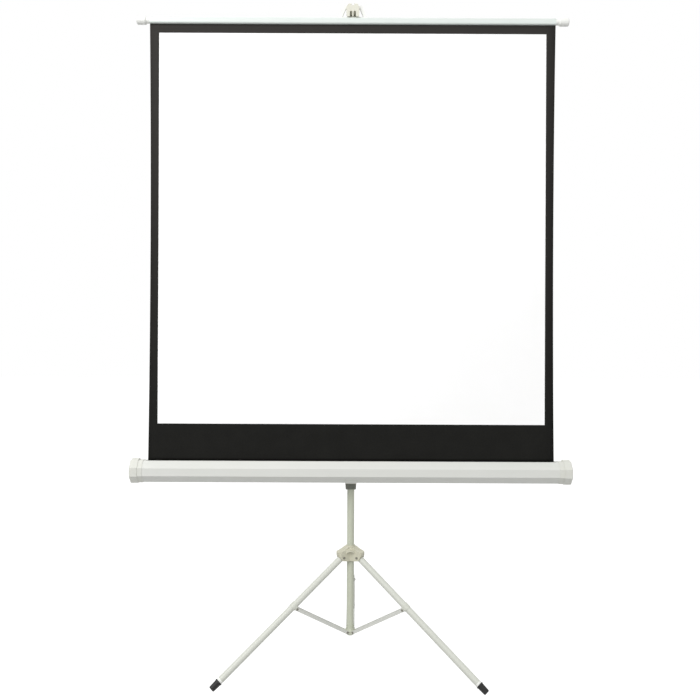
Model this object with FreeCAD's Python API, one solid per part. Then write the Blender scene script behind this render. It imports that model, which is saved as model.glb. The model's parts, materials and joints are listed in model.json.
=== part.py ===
import FreeCAD, Part
import os
from math import acos, asin, atan2, cos, degrees, pi, radians, sin, sqrt

V = FreeCAD.Vector

# Pull-up projection screen on a tripod. Millimetres, +Z up, the origin on the floor
# under the post. The audience stands towards -Y, and +X is on its right.

# Clearances and cutting allowances
RUN_FIT = 0.08          # radial clearance of a shaft or slide that turns or slides
LOOSE = 0.3             # gap between parts that pass each other
OVERRUN = 5.0           # how far a cutting tool runs past what it cuts
WELD = 0.4              # how far parts of one casting run into each other

# Post: the fixed tube
POST_R = 14.3
POST_WALL = 1.5
POST_BOTTOM = 104.0     # height of its lower end
POST_LENGTH = 1508.0

# Foot cup: closes the post below and carries the strut lugs. Heights are from the post's end.
CUP_NECK_R = 16.6
CUP_BOWL_R = 19.6
CUP_NECK_ABOVE = 32.0
CUP_BOWL_ABOVE = 15.0
CUP_EDGE_ABOVE = 2.5
CUP_BELOW = 7.0
CUP_FLARE_SHARE = 0.3   # how closely the flare hugs the neck
LUG_R = 4.5
STRUT_PIN_R = 2.5
STRUT_LOW_R = 21.0      # distance of the lower strut pivots from the post axis
STRUT_LOW_ABOVE = 12.2

# Legs: one at the rear and two at the front
REAR_ANGLE = 89.0
FRONT_LEFT_ANGLE = 209.0
FRONT_RIGHT_ANGLE = 329.0
LEG_ANGLE = 52.76       # from the vertical, opened
LEG_PIVOT_R = 38.5
LEG_R = 12.5
LEG_WALL = 1.2
LEG_REACH = 680.3       # pivot to the middle of the foot's end
LEG_PIN_R = 3.0
LEG_PIN_HEAD = 1.6
LEG_PIN_HEAD_R = 4.8
KNUCKLE_HEAD = 12.0
KNUCKLE_PLUG = 28.0

# Feet and their ferrules
FOOT_STAND = 5.34       # height of the middle of the foot's end above the floor
FOOT_LENGTH = 38.0
FOOT_TOP_R = 14.0
FOOT_END_R = 11.5
FOOT_EDGE = 4.0
FOOT_LIP = 2.2
FOOT_LIP_LENGTH = 5.0
FOOT_BORE_DEPTH = 26.0
FERRULE_R = 12.2
FERRULE_LENGTH = 8.0
FERRULE_PEG_R = 9.0
FERRULE_PLUG = 20.0
FERRULE_BEAD = 0.9
FERRULE_BEAD_HALF = 1.6

# Struts: pairs of flat bars beside the leg, seated on a clip under it
CLIP_AT = 265.5         # along the leg from its pivot
CLIP_DROP = 12.6        # strut pivot below the leg axis
CLIP_LENGTH = 22.0
CLIP_BAND = 1.5
CLIP_EAR_LENGTH = 15.0
BAR_WIDTH = 13.0
BAR_THICK = 2.5
RIVET_HEAD_R = 5.0
RIVET_HEAD = 1.8

# Leg hub: the moulded spider that slides on the post. Heights are from its leg pivots.
HUB_ABOVE = 45.0
HUB_BELOW = 15.5
HUB_NECK_R = 17.8
HUB_RIM_R = 35.0
HUB_RIM_ABOVE = 31.0
HUB_RIM_THICK = 16.0
HUB_CORE_R = 21.0
HUB_FLARE_SHARE = 0.29  # how closely the bell hugs its neck
ARCH_R = 19.0
ARCH_ABOVE = 24.5       # top of the arched recess between two hoods
HOOD_TIP_R = 59.5
HOOD_TIP_ABOVE = 22.5
HOOD_TIP_THICK = 5.0
HOOD_TIP_ROUND = 11.5
HOOD_WAIST_R = 53.5
HOOD_WAIST_ABOVE = 2.5
HOOD_LIP_R = 43.5
HOOD_LIP_BELOW = 12.0
HOOD_WALL = 4.2
HOOD_SAG = 2.4          # how far the roof of a hood dips below a straight line
HOOD_STEP = 5.0         # drop of a hood's roof below the neck's end
STOP_PIN_R = 3.0
STOP_PIN_OUT = 2.4
STOP_POCKET = 12.0      # height of the room under the core that hides the stop pins

# Collar on the post's top, with the mast lock. Heights are from the post's upper end.
COLLAR_R = 19.0
COLLAR_BELOW = 40.0
COLLAR_ABOVE = 8.0
COLLAR_EDGE = 2.0
LOCK_BELOW = 20.0
LOCK_BOSS_R = 10.0
LOCK_BOSS_END = 27.0
LOCK_STUD_R = 4.0
KNOB_R = 19.0
KNOB_THICK = 15.0
KNOB_EDGE = 2.0
KNOB_HUB_R = 9.0
KNOB_HUB = 4.0
KNOB_LOBES = 8
KNOB_SCALLOP_R = 5.5

# Mast: the inner tube that carries the hook
MAST_R = 11.0
MAST_WALL = 1.2
MAST_OVERLAP = 332.0    # length of the raised mast that stays in the post
MAST_GUIDE = 34.0

# Sheet
SCREEN_Y = -78.0
FABRIC_WIDTH = 1594.0
FABRIC_LENGTH = 1714.5  # from the case's top to the slat
FABRIC_THICK = 0.6
FABRIC_WAIST = 5.0      # how far each side edge bows in

# Case: an eight-sided housing round the roller
CASE_Z = 770.0          # height of the roller's axis
CASE_HEIGHT = 83.0
CASE_DEPTH = 76.0
CASE_FLAT = 30.0
CASE_WALL = 1.3
CASE_MARGIN = 30.7      # shell beyond each end of the roller
SLOT_WIDTH = 14.0
SLOT_MARGIN = 9.0       # slot beyond each edge of the fabric
CAP_HEAD = 31.0
CAP_COLLAR = 18.2
CAP_PROUD = 3.6
CAP_COLLAR_PROUD = 1.6
CAP_WALL = 3.4
CAP_EDGE = 4.5
CAP_CREST = 5.0
CAP_CREST_R = 17.0
BEARING_R = 9.0
BEARING_GAP = 18.0      # from the roller's end to the bearing

# Roller
ROLLER_R = 14.0
ROLLER_WALL = 1.0
ROLLER_MARGIN = 3.0     # roller beyond each edge of the fabric
ROLLER_PLUG = 26.0
ROLLER_FLANGE = 5.0
ROLLER_FLANGE_R = 19.0
WRAPS = 3               # turns of fabric that stay on the roller
AXLE_R = 4.0
AXLE_OUT = 19.3         # axle beyond the end of the shell
SPRING_R = 9.5
SPRING_WIRE = 1.6
SPRING_IN = 30.0        # from the roller's end to the spring
SPRING_LENGTH = 340.0
ANCHOR_LENGTH = 12.0

# Pivot between the case and the carriage
BRACKET_THICK = 2.5
BRACKET_LENGTH = 150.0
BRACKET_DISC_R = 22.0
BRACKET_DISC = 2.5
TONGUE_WIDTH = 44.0     # the bracket's tongue under the case and up its front
TONGUE_RISE = 11.0
TONGUE_ARCH_R = 5.0
PIVOT_R = 6.0
PIVOT_END = 19.0        # distance of the pivot's inner end from the post axis
SCREW_R = 4.0
SCREW_HEAD = 1.8
SCREW_X = 58.0
SCREW_SHARE = 0.62      # place of the screws along each slanted face

# Carriage: slides on the post behind the case
CARRIAGE_BELOW = 58.0   # from the roller's axis
CARRIAGE_ABOVE = 42.0
CARRIAGE_R = 21.5
CARRIAGE_WIDTH = 46.0
CARRIAGE_FRONT = 24.0
CARRIAGE_SKIRT = 26.0
CARRIAGE_EDGE = 3.0
CARRIAGE_CORNER = 6.0
PIVOT_BOSS_R = 20.0
SPRING_POCKET_R = 18.6
SPRING_POCKET = 30.0

# Release collar under the carriage, held up by a spring
RELEASE_HEIGHT = 23.2
RELEASE_WIDTH = 44.3
RELEASE_DEPTH = 44.0
RELEASE_CORNER = 6.0
RELEASE_TAPER = 1.6     # how far the lower edge draws in on each side
RELEASE_SPIGOT = 8.0
RELEASE_HOLLOW_R = 18.4 # hollow in the underside, which the hub's neck enters when folded
RELEASE_HOLLOW = 6.0
PAD_WIDTH = 22.0        # arched thumb recess in the front
PAD_HEIGHT = 19.0
PAD_DEPTH = 1.2
COIL_WIRE = 1.6

# Top slat, its caps and the pull handle
SLAT_HEIGHT = 25.0
SLAT_DEPTH = 22.0
SLAT_CORNER = 6.0
SLAT_WALL = 1.8
HEM_ROD_R = 2.6
HEM_IN = 12.0           # how far the fabric reaches into the slat
TOP_CAP_R = 15.7
TOP_CAP_NECK = 13.0
TOP_CAP_NECK_R = 11.5
TOP_CAP_LENGTH = 38.0
TOP_CAP_EDGE = 5.0
TOP_CAP_PLUG = 22.0
HANDLE_WIDTH = 110.0
HANDLE_SHOULDER = 78.0
HANDLE_HEIGHT = 48.0
HANDLE_THICK = 11.0
HANDLE_GRIP = 11.5
HANDLE_LEG = 12.0
HANDLE_ROUND = 15.0
HANDLE_INNER_ROUND = 7.0
HANDLE_FLANGE = 3.0
HANDLE_FOOT = 6.5       # flange beyond each side of the handle
HANDLE_SCREW_R = 2.6

# Hook head on the mast. Heights are from the seat of the handle's grip.
HOOK_SLEEVE_R = 14.5
HOOK_SLEEVE_ABOVE = 6.0
HOOK_SLEEVE_BELOW = 49.0
HOOK_MAST_IN = 9.0      # top of the sleeve above the mast's end
HOOK_ARM_THICK = 23.0
HOOK_ARM_WIDTH = 36.0
HOOK_NOSE_FRONT = 94.0  # forward of the post axis
HOOK_NOSE_THICK = 7.5
HOOK_NOSE_WIDTH = 51.0
HOOK_NOSE_TOP_WIDTH = 37.0
HOOK_NOSE_ABOVE = 14.0
HOOK_NOSE_CLEAR = 1.5   # nose above the slat
HOOK_NOTCH_WIDTH = 10.0
HOOK_NOTCH_DEPTH = 6.0
HOOK_WINDOW_WIDTH = 9.5
HOOK_WINDOW_RISE = 9.5  # above the underside of the arm
HOOK_WINDOW_DEPTH = 44.0
HOOK_RIB = 5.0
HOOK_EDGE = 3.0
HOOK_RIVET_R = 3.0
HOOK_RIVET_BELOW = 38.0

# Sizes that follow from the ones above
LEG_AZIMUTHS = {"rear": REAR_ANGLE, "front_left": FRONT_LEFT_ANGLE,
                "front_right": FRONT_RIGHT_ANGLE}
POST_TOP = POST_BOTTOM + POST_LENGTH
MAST_BORE_R = POST_R - POST_WALL
LEG_PIVOT_Z = LEG_REACH * cos(radians(LEG_ANGLE)) + FOOT_STAND
HUB_TOP = LEG_PIVOT_Z + HUB_ABOVE
HUB_BOTTOM = LEG_PIVOT_Z - HUB_BELOW
STOP_PIN_Z = HUB_BOTTOM + STOP_POCKET - STOP_PIN_R
COLLAR_BOTTOM = POST_TOP - COLLAR_BELOW
COLLAR_TOP = POST_TOP + COLLAR_ABOVE
LOCK_Z = POST_TOP - LOCK_BELOW
ROLLER_LENGTH = FABRIC_WIDTH + 2 * ROLLER_MARGIN
CASE_LENGTH = ROLLER_LENGTH + 2 * CASE_MARGIN
CASE_TOP = CASE_Z + CASE_HEIGHT / 2
CASE_BACK = SCREEN_Y + CASE_DEPTH / 2
BEARING_START = ROLLER_LENGTH / 2 + BEARING_GAP
AXLE_END = CASE_LENGTH / 2 + AXLE_OUT
SPRING_START = ROLLER_LENGTH / 2 - SPRING_IN
SPRING_END = SPRING_START - SPRING_LENGTH
ROLL_R = ROLLER_R + WRAPS * FABRIC_THICK
CARRIAGE_BOTTOM = CASE_Z - CARRIAGE_BELOW
CARRIAGE_TOP = CASE_Z + CARRIAGE_ABOVE
RELEASE_TOP = CARRIAGE_BOTTOM - LOOSE
RELEASE_BOTTOM = RELEASE_TOP - RELEASE_HEIGHT
SLAT_BOTTOM = CASE_TOP + FABRIC_LENGTH
SLAT_TOP = SLAT_BOTTOM + SLAT_HEIGHT
SEAT_Z = SLAT_TOP + HANDLE_HEIGHT - HANDLE_GRIP
HOOK_SEAT = SEAT_Z - LOOSE
HOOK_ARM_BOTTOM = HOOK_SEAT - HOOK_ARM_THICK
HOOK_SLEEVE_BOTTOM = SEAT_Z - HOOK_SLEEVE_BELOW
HOOK_SLEEVE_TOP = SEAT_Z + HOOK_SLEEVE_ABOVE
HOOK_NOSE_TOP = SEAT_Z + HOOK_NOSE_ABOVE
HOOK_NOSE_BOTTOM = SLAT_TOP + HOOK_NOSE_CLEAR
HOOK_RIVET_Z = SEAT_Z - HOOK_RIVET_BELOW
MAST_BOTTOM = POST_TOP - MAST_OVERLAP
MAST_TOP = HOOK_SLEEVE_TOP - HOOK_MAST_IN
CLIP_R = LEG_R + CLIP_BAND
BAR_INNER = CLIP_R + LOOSE
BAR_MIDDLE = BAR_INNER + BAR_THICK / 2
BAR_OUTER = BAR_INNER + BAR_THICK
KNUCKLE_ROOM = LEG_R + 2 * LOOSE
HOOD_HALF = KNUCKLE_ROOM + HOOD_WALL

AXIS_Z = V(0, 0, 1)
AXIS_Y = V(0, 1, 0)
AXIS_X = V(1, 0, 0)
ORIGIN = V(0, 0, 0)


def cylinder(radius, start, end):
    along = end - start
    return Part.makeCylinder(radius, along.Length, start, along)


def ring(outer, inner, start, end):
    along = end - start
    past = along / along.Length * OVERRUN
    return cylinder(outer, start, end).cut(cylinder(inner, start - past, end + past))


def slab(low, high):
    size = high - low
    return Part.makeBox(size.x, size.y, size.z, low)


def polygon(points):
    return Part.Face(Part.makePolygon(points + [points[0]]))


def line(start, end):
    return Part.LineSegment(start, end).toShape()


def arc(start, through, end):
    return Part.Arc(start, through, end).toShape()


def outline(*edges):
    return Part.Face(Part.Wire(list(edges)))


def fused(first, *others):
    return first.fuse(list(others)).removeSplitter()


def turned(shape, centre, axis, angle):
    copy = shape.copy()
    copy.rotate(centre, axis, angle)
    return copy


def moved(shape, offset):
    copy = shape.copy()
    copy.translate(offset)
    return copy


def mirrored(shape):
    return shape.mirror(ORIGIN, AXIS_X)


def rounded(shape, radius, wanted):
    return shape.makeFillet(radius, [edge for edge in shape.Edges if wanted(edge)])


def bevelled(shape, size, wanted):
    return shape.makeChamfer(size, [edge for edge in shape.Edges if wanted(edge)])


def span(edge, axis):
    """How far apart the ends of an edge lie along an axis."""
    return abs((edge.Vertexes[0].Point - edge.Vertexes[-1].Point).dot(axis))


def flat_at(edge, axis, place):
    """True where both ends of the edge lie at one place along an axis."""
    return all(abs(point.Point.dot(axis) - place) < WELD / 10 for point in edge.Vertexes)


def dome_radius(radius, rise):
    return (radius ** 2 + rise ** 2) / (2 * rise)


def flare(low, high, share):
    """A point of the hollow curve that rises from a wide foot to a slim neck."""
    return V(high.x + (low.x - high.x) * share, 0, low.z + (high.z - low.z) * share)


def at_leg(shape, azimuth):
    return turned(shape, ORIGIN, AXIS_Z, azimuth)


# Each leg is drawn hanging straight down in the plane of +X, then opened.

LEG_PIVOT = V(LEG_PIVOT_R, 0, LEG_PIVOT_Z)
LEG_WAY = V(sin(radians(LEG_ANGLE)), 0, -cos(radians(LEG_ANGLE)))
LEG_OVER = V(cos(radians(LEG_ANGLE)), 0, sin(radians(LEG_ANGLE)))
FOOT_TOP_AT = LEG_REACH - FOOT_LENGTH
TUBE_END_AT = FOOT_TOP_AT - FERRULE_LENGTH


def down_leg(distance, side=0, out=0):
    """A point along the hanging leg, out from the post and sideways from its axis."""
    return LEG_PIVOT + V(out, side, -distance)


def opened(shape):
    return turned(shape, LEG_PIVOT, AXIS_Y, -LEG_ANGLE)


def leg_tube():
    tube = ring(LEG_R, LEG_R - LEG_WALL, down_leg(KNUCKLE_HEAD), down_leg(TUBE_END_AT))
    return opened(tube)


def leg_knuckle():
    """The moulded end that turns on the hub's pin: a rounded head and a plug in the tube."""
    head = Part.makeSphere(LEG_R, LEG_PIVOT)
    barrel = cylinder(LEG_R, LEG_PIVOT, down_leg(KNUCKLE_HEAD))
    plug = cylinder(LEG_R - LEG_WALL, down_leg(KNUCKLE_HEAD - WELD),
                    down_leg(KNUCKLE_HEAD + KNUCKLE_PLUG))
    bore = cylinder(LEG_PIN_R + RUN_FIT, down_leg(0, -LEG_R - OVERRUN), down_leg(0, LEG_R + OVERRUN))
    return opened(fused(head, barrel, plug).cut(bore))


def leg_ferrule():
    """A band with one ridge between the tube and the foot."""
    top = down_leg(TUBE_END_AT)
    band = cylinder(FERRULE_R, top, down_leg(FOOT_TOP_AT))
    middle = down_leg(TUBE_END_AT + FERRULE_LENGTH / 2)
    peak = FERRULE_R + FERRULE_BEAD
    ridge = fused(Part.makeCone(FERRULE_R, peak, FERRULE_BEAD_HALF, middle + AXIS_Z * FERRULE_BEAD_HALF,
                                -AXIS_Z),
                  Part.makeCone(peak, FERRULE_R, FERRULE_BEAD_HALF, middle, -AXIS_Z))
    plug = cylinder(LEG_R - LEG_WALL, down_leg(TUBE_END_AT - FERRULE_PLUG),
                    down_leg(TUBE_END_AT + WELD))
    peg = cylinder(FERRULE_PEG_R, down_leg(FOOT_TOP_AT - WELD), down_leg(FOOT_TOP_AT + FOOT_BORE_DEPTH))
    return opened(fused(band, ridge, plug, peg))


def leg_foot():
    """A tapered rubber cap with a lip, worn flat where it meets the floor."""
    lip = down_leg(FOOT_TOP_AT)
    body = Part.makeCone(FOOT_TOP_R - FOOT_LIP / 2, FOOT_END_R, FOOT_LENGTH, lip, -AXIS_Z)
    body = rounded(body, FOOT_EDGE, lambda edge: flat_at(edge, AXIS_Z, LEG_PIVOT_Z - LEG_REACH))
    collar = cylinder(FOOT_TOP_R, lip, down_leg(FOOT_TOP_AT + FOOT_LIP_LENGTH))
    bore = cylinder(FERRULE_PEG_R, down_leg(FOOT_TOP_AT - OVERRUN),
                    down_leg(FOOT_TOP_AT + FOOT_BORE_DEPTH))
    foot = opened(fused(body, collar).cut(bore))
    below = V(LEG_REACH, LEG_REACH, LEG_REACH)
    floor = slab(LEG_WAY * LEG_REACH - below, V(LEG_REACH + LEG_PIVOT_R, LEG_REACH, 0))
    return foot.cut(floor)


def strut_clip():
    """A band round the leg with an ear under it, which the strut's bars straddle."""
    half = CLIP_LENGTH / 2
    band = cylinder(CLIP_R, down_leg(CLIP_AT - half), down_leg(CLIP_AT + half))
    ear_low = down_leg(CLIP_AT, 0, -CLIP_DROP)
    ear = cylinder(CLIP_EAR_LENGTH / 2, ear_low - AXIS_Y * CLIP_R, ear_low + AXIS_Y * CLIP_R)
    web = slab(ear_low - V(0, CLIP_R, CLIP_EAR_LENGTH / 2),
               ear_low + V(CLIP_DROP, CLIP_R, CLIP_EAR_LENGTH / 2))
    bore = cylinder(LEG_R, down_leg(CLIP_AT - CLIP_LENGTH), down_leg(CLIP_AT + CLIP_LENGTH))
    hole = cylinder(STRUT_PIN_R + LOOSE, ear_low - AXIS_Y * (CLIP_R + OVERRUN),
                    ear_low + AXIS_Y * (CLIP_R + OVERRUN))
    return opened(fused(band, ear, web).cut(fused(bore, hole)))


# The strut runs from its lower pivot to the point under the clip.

STRUT_LOW = V(STRUT_LOW_R, 0, POST_BOTTOM + STRUT_LOW_ABOVE)
STRUT_HIGH = LEG_PIVOT + LEG_WAY * CLIP_AT - LEG_OVER * CLIP_DROP
STRUT_SPAN = (STRUT_HIGH - STRUT_LOW).Length
STRUT_RISE = degrees(atan2(STRUT_HIGH.z - STRUT_LOW.z, STRUT_HIGH.x - STRUT_LOW.x))


def along_strut(shape):
    """Takes a piece drawn along +X from the lower pivot to its place."""
    return turned(shape, STRUT_LOW, AXIS_Y, -STRUT_RISE)


def strut_bars():
    half = BAR_WIDTH / 2
    way = AXIS_X * STRUT_SPAN
    bars = []
    for side in (-1, 1):
        inner = STRUT_LOW + AXIS_Y * (side * BAR_MIDDLE - BAR_THICK / 2)
        outer = inner + AXIS_Y * BAR_THICK
        bar = fused(slab(inner - AXIS_Z * half, outer + way + AXIS_Z * half),
                    cylinder(half, inner, outer),
                    cylinder(half, inner + way, outer + way))
        for hole in (ORIGIN, way):
            bar = bar.cut(cylinder(STRUT_PIN_R, inner + hole - AXIS_Y * OVERRUN,
                                   outer + hole + AXIS_Y * OVERRUN))
        bars.append(along_strut(bar))
    return Part.makeCompound(bars)


def rivet_head(centre, outward):
    """A low domed head whose flat side is at the centre."""
    dome_r = dome_radius(RIVET_HEAD_R, RIVET_HEAD)
    dome = Part.makeSphere(dome_r, centre - outward * (dome_r - RIVET_HEAD))
    return dome.common(cylinder(RIVET_HEAD_R, centre, centre + outward * RIVET_HEAD))


def strut_rivets():
    """One pin through the lower lug, and a short rivet in each bar's upper end."""
    low_a = STRUT_LOW - AXIS_Y * BAR_OUTER
    low_b = STRUT_LOW + AXIS_Y * BAR_OUTER
    pieces = [fused(cylinder(STRUT_PIN_R, low_a - AXIS_Y * WELD, low_b + AXIS_Y * WELD),
                    rivet_head(low_a, -AXIS_Y), rivet_head(low_b, AXIS_Y))]
    for side in (-1, 1):
        face = STRUT_LOW + AXIS_X * STRUT_SPAN + AXIS_Y * (side * BAR_OUTER)
        shank = cylinder(STRUT_PIN_R, face - AXIS_Y * (side * BAR_THICK),
                         face + AXIS_Y * (side * WELD))
        pieces.append(fused(shank, rivet_head(face, AXIS_Y * side)))
    return along_strut(Part.makeCompound(pieces))


def post_tube():
    tube = ring(POST_R, MAST_BORE_R, V(0, 0, POST_BOTTOM), V(0, 0, POST_TOP))
    lock_hole = cylinder(LOCK_STUD_R + LOOSE, V(0, 0, LOCK_Z), V(0, POST_R + OVERRUN, LOCK_Z))
    stop_hole = cylinder(STOP_PIN_R, V(0, -POST_R - OVERRUN, STOP_PIN_Z),
                         V(0, POST_R + OVERRUN, STOP_PIN_Z))
    return tube.cut(fused(lock_hole, stop_hole))


def hub_stop_pins():
    """Two rivets in the post's wall, on which the opened hub rests."""
    pins = []
    for side in (-1, 1):
        pins.append(cylinder(STOP_PIN_R, V(0, side * MAST_BORE_R, STOP_PIN_Z),
                             V(0, side * (POST_R + STOP_PIN_OUT), STOP_PIN_Z)))
    return Part.makeCompound(pins)


def foot_cup():
    """A bowl under the post with a neck that grips it and a lug for each strut."""
    pole = V(0, 0, POST_BOTTOM - CUP_BELOW)
    edge = V(CUP_BOWL_R, 0, POST_BOTTOM + CUP_EDGE_ABOVE)
    shoulder = V(CUP_BOWL_R, 0, POST_BOTTOM + CUP_BOWL_ABOVE)
    neck = V(CUP_NECK_R, 0, POST_BOTTOM + CUP_NECK_ABOVE)
    top = V(0, 0, neck.z)
    dome_r = dome_radius(CUP_BOWL_R, edge.z - pole.z)
    lean = asin(CUP_BOWL_R / dome_r) / 2
    belly = pole + V(sin(lean), 0, 1 - cos(lean)) * dome_r
    face = outline(arc(pole, belly, edge), line(edge, shoulder),
                   arc(shoulder, flare(shoulder, neck, CUP_FLARE_SHARE), neck),
                   line(neck, top), line(top, pole))
    body = face.revolve(ORIGIN, AXIS_Z, 360)
    lug = fused(cylinder(LUG_R, STRUT_LOW - AXIS_Y * CLIP_R, STRUT_LOW + AXIS_Y * CLIP_R),
                slab(V(0, -CLIP_R, STRUT_LOW.z - LUG_R), V(STRUT_LOW_R, CLIP_R, STRUT_LOW.z + LUG_R)))
    bore = cylinder(STRUT_PIN_R + RUN_FIT, STRUT_LOW - AXIS_Y * (CLIP_R + OVERRUN),
                    STRUT_LOW + AXIS_Y * (CLIP_R + OVERRUN))
    for azimuth in LEG_AZIMUTHS.values():
        body = body.fuse(at_leg(lug, azimuth)).cut(at_leg(bore, azimuth))
    socket = cylinder(POST_R, V(0, 0, POST_BOTTOM), V(0, 0, neck.z + OVERRUN))
    return body.cut(socket).removeSplitter()


def hub_bell():
    """The neck that flares into a rim, over the core that slides on the post."""
    neck = V(HUB_NECK_R, 0, HUB_TOP)
    rim = V(HUB_RIM_R, 0, LEG_PIVOT_Z + HUB_RIM_ABOVE)
    under = rim - AXIS_Z * HUB_RIM_THICK
    core = V(HUB_CORE_R, 0, under.z)
    foot = V(HUB_CORE_R, 0, HUB_BOTTOM)
    face = outline(line(V(0, 0, HUB_TOP), neck), arc(neck, flare(rim, neck, HUB_FLARE_SHARE), rim),
                   line(rim, under), line(under, core), line(core, foot),
                   line(foot, V(0, 0, HUB_BOTTOM)), line(V(0, 0, HUB_BOTTOM), V(0, 0, HUB_TOP)))
    return face.revolve(ORIGIN, AXIS_Z, 360)


def hub_hood():
    """One hood in the plane of +X: two cheeks under a sloping roof with a rounded tip."""
    side = V(0, -HOOD_HALF, 0)
    crown = side + V(HUB_NECK_R, 0, HUB_TOP - HOOD_STEP)
    tip = side + V(HOOD_TIP_R, 0, LEG_PIVOT_Z + HOOD_TIP_ABOVE)
    drip = tip - AXIS_Z * HOOD_TIP_THICK
    waist = side + V(HOOD_WAIST_R, 0, LEG_PIVOT_Z + HOOD_WAIST_ABOVE)
    lip = side + V(HOOD_LIP_R, 0, LEG_PIVOT_Z - HOOD_LIP_BELOW)
    foot = side + V(HUB_CORE_R, 0, HUB_BOTTOM)
    low = side + V(0, 0, HUB_BOTTOM)
    high = side + V(0, 0, crown.z)
    profile = outline(line(low, foot), line(foot, lip), arc(lip, waist, drip), line(drip, tip),
                      arc(tip, (crown + tip) / 2 - AXIS_Z * HOOD_SAG, crown), line(crown, high),
                      line(high, low))
    start = HOOD_TIP_R - HOOD_TIP_ROUND
    edge = HOOD_HALF - HOOD_TIP_ROUND
    bow = HOOD_TIP_ROUND / sqrt(2)
    base = V(0, 0, HUB_BOTTOM - OVERRUN)
    corners = [base + V(0, -HOOD_HALF, 0), base + V(start, -HOOD_HALF, 0), base + V(HOOD_TIP_R, -edge, 0),
               base + V(HOOD_TIP_R, edge, 0), base + V(start, HOOD_HALF, 0), base + V(0, HOOD_HALF, 0)]
    plan = outline(line(corners[0], corners[1]),
                   arc(corners[1], base + V(start + bow, -edge - bow, 0), corners[2]),
                   line(corners[2], corners[3]),
                   arc(corners[3], base + V(start + bow, edge + bow, 0), corners[4]),
                   line(corners[4], corners[5]), line(corners[5], corners[0]))
    height = HUB_ABOVE + HUB_BELOW + 2 * OVERRUN
    return profile.extrude(AXIS_Y * (2 * HOOD_HALF)).common(plan.extrude(AXIS_Z * height))


def hub_slot():
    """Room for the leg's knuckle from hanging down to fully opened."""
    reach = HOOD_TIP_R + LEG_PIVOT_R
    side = AXIS_Y * KNUCKLE_ROOM
    back = LEG_PIVOT - AXIS_X * KNUCKLE_ROOM
    over = LEG_PIVOT + LEG_OVER * KNUCKLE_ROOM
    points = [back, back - AXIS_Z * reach, LEG_PIVOT + (AXIS_X - AXIS_Z) * reach,
              over + LEG_WAY * reach, over]
    wedge = polygon([point - side for point in points]).extrude(side * 2)
    return fused(wedge, cylinder(KNUCKLE_ROOM, LEG_PIVOT - side, LEG_PIVOT + side))


def hub_arch():
    """The arched recess in the plane of +X, under the rim and between two hoods."""
    middle = LEG_PIVOT_Z + ARCH_ABOVE - ARCH_R
    start = V(HUB_CORE_R, 0, middle)
    return cylinder(ARCH_R, start, start + AXIS_X * HUB_RIM_R)


def leg_hub():
    """A bell over three hoods, with an arched recess between each pair."""
    hub = hub_bell()
    between = (REAR_ANGLE + FRONT_LEFT_ANGLE) / 2 - REAR_ANGLE
    for azimuth in LEG_AZIMUTHS.values():
        hub = hub.cut(at_leg(hub_arch(), azimuth + between))
    for azimuth in LEG_AZIMUTHS.values():
        hub = hub.fuse(at_leg(hub_hood(), azimuth))
    pin_hole = cylinder(LEG_PIN_R, LEG_PIVOT - AXIS_Y * (HOOD_HALF + OVERRUN),
                        LEG_PIVOT + AXIS_Y * (HOOD_HALF + OVERRUN))
    for azimuth in LEG_AZIMUTHS.values():
        hub = hub.cut(at_leg(hub_slot(), azimuth)).cut(at_leg(pin_hole, azimuth))
    bore = cylinder(POST_R + RUN_FIT, V(0, 0, HUB_BOTTOM - OVERRUN), V(0, 0, HUB_TOP + OVERRUN))
    pocket = cylinder(POST_R + STOP_PIN_OUT + LOOSE, V(0, 0, HUB_BOTTOM - OVERRUN),
                      V(0, 0, HUB_BOTTOM + STOP_POCKET))
    return hub.cut(fused(bore, pocket)).removeSplitter()


def hub_pins():
    reach = AXIS_Y * HOOD_HALF
    head = AXIS_Y * LEG_PIN_HEAD
    pin = fused(cylinder(LEG_PIN_R, LEG_PIVOT - reach - head, LEG_PIVOT + reach + head),
                cylinder(LEG_PIN_HEAD_R, LEG_PIVOT - reach - head, LEG_PIVOT - reach),
                cylinder(LEG_PIN_HEAD_R, LEG_PIVOT + reach, LEG_PIVOT + reach + head))
    return Part.makeCompound([at_leg(pin, azimuth) for azimuth in LEG_AZIMUTHS.values()])


def top_collar():
    body = cylinder(COLLAR_R, V(0, 0, COLLAR_BOTTOM), V(0, 0, COLLAR_TOP))
    body = bevelled(body, COLLAR_EDGE, lambda edge: flat_at(edge, AXIS_Z, COLLAR_TOP)
                    or flat_at(edge, AXIS_Z, COLLAR_BOTTOM))
    boss = cylinder(LOCK_BOSS_R, V(0, 0, LOCK_Z), V(0, LOCK_BOSS_END, LOCK_Z))
    socket = cylinder(POST_R, V(0, 0, COLLAR_BOTTOM - OVERRUN), V(0, 0, POST_TOP))
    bore = cylinder(MAST_R + RUN_FIT, V(0, 0, POST_TOP - WELD), V(0, 0, COLLAR_TOP + OVERRUN))
    stud = cylinder(LOCK_STUD_R + RUN_FIT, V(0, 0, LOCK_Z), V(0, LOCK_BOSS_END + OVERRUN, LOCK_Z))
    return fused(body, boss).cut(fused(socket, bore, stud))


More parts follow.
